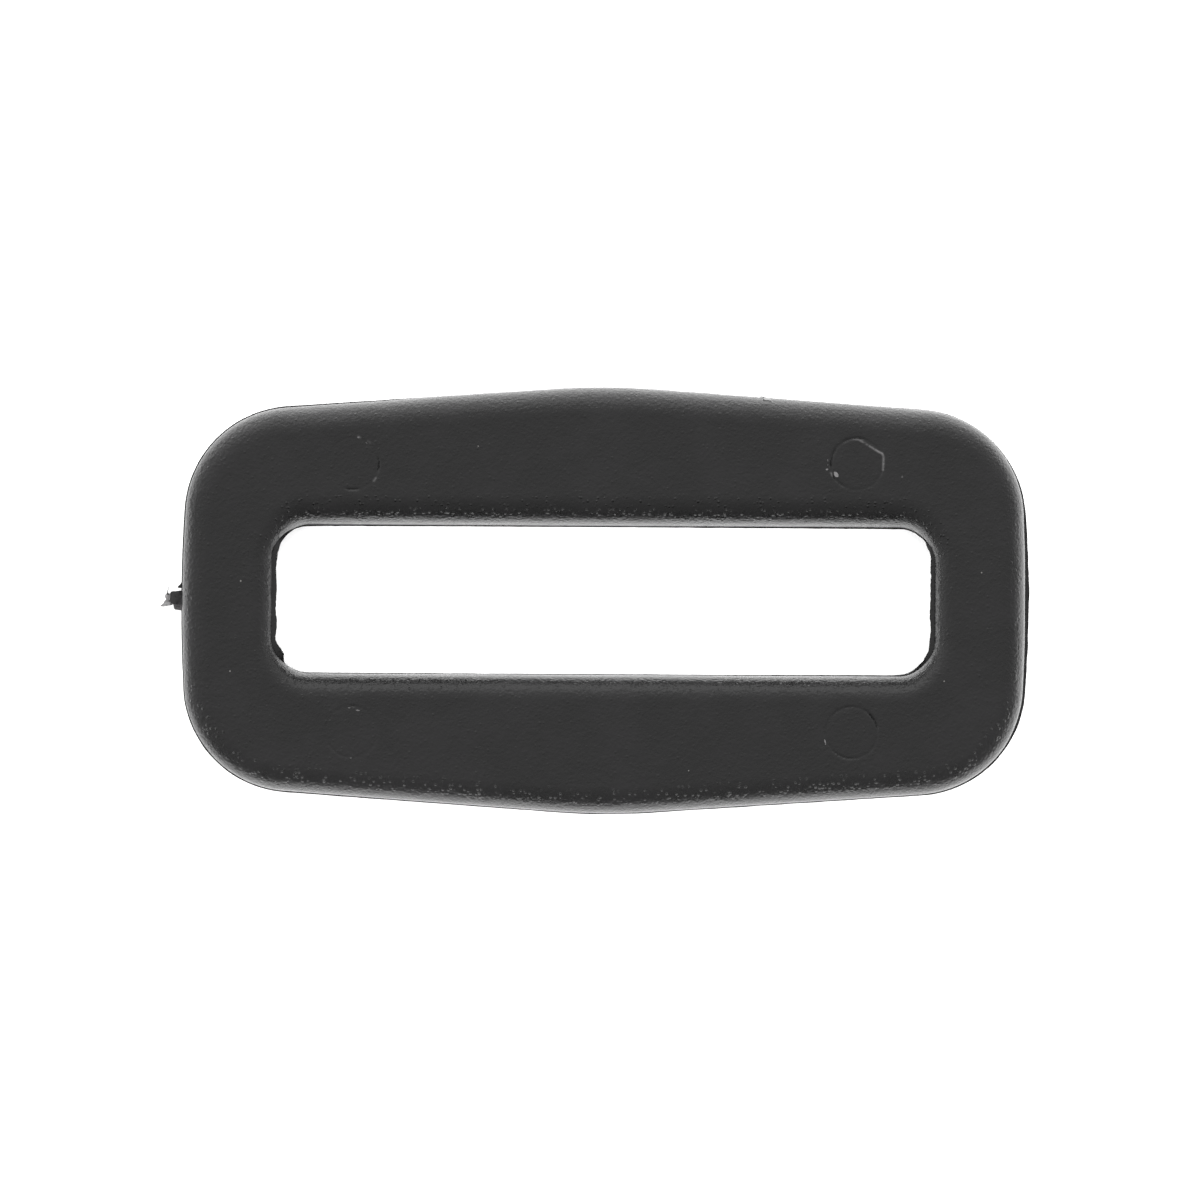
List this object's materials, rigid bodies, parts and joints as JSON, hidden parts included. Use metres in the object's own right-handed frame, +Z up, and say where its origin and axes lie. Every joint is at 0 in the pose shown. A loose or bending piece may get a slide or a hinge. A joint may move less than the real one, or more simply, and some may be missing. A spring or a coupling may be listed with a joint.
{
  "type": "strap slider loop",
  "caption": "Flat closed strap loop moulded in one piece, with a long through slot for webbing, rounded edges and softly peaked long bars.",
  "frame": {"origin": "on the surface the loop lies on, under the centre of the slot", "axes": "+X along the slot, away from the torn gate stub; +Y across the slot; +Z up through the thickness, towards the face with the ejector-pin marks"},
  "size_m": [0.0336, 0.0164, 0.0032],
  "materials": {
    "moulded_plastic": "black, fine matte moulded grain, a little glossier on the rounded edges"
  },
  "bodies": {
    "root": {"slider_frame": "moulded_plastic"}
  },
  "joints": []
}
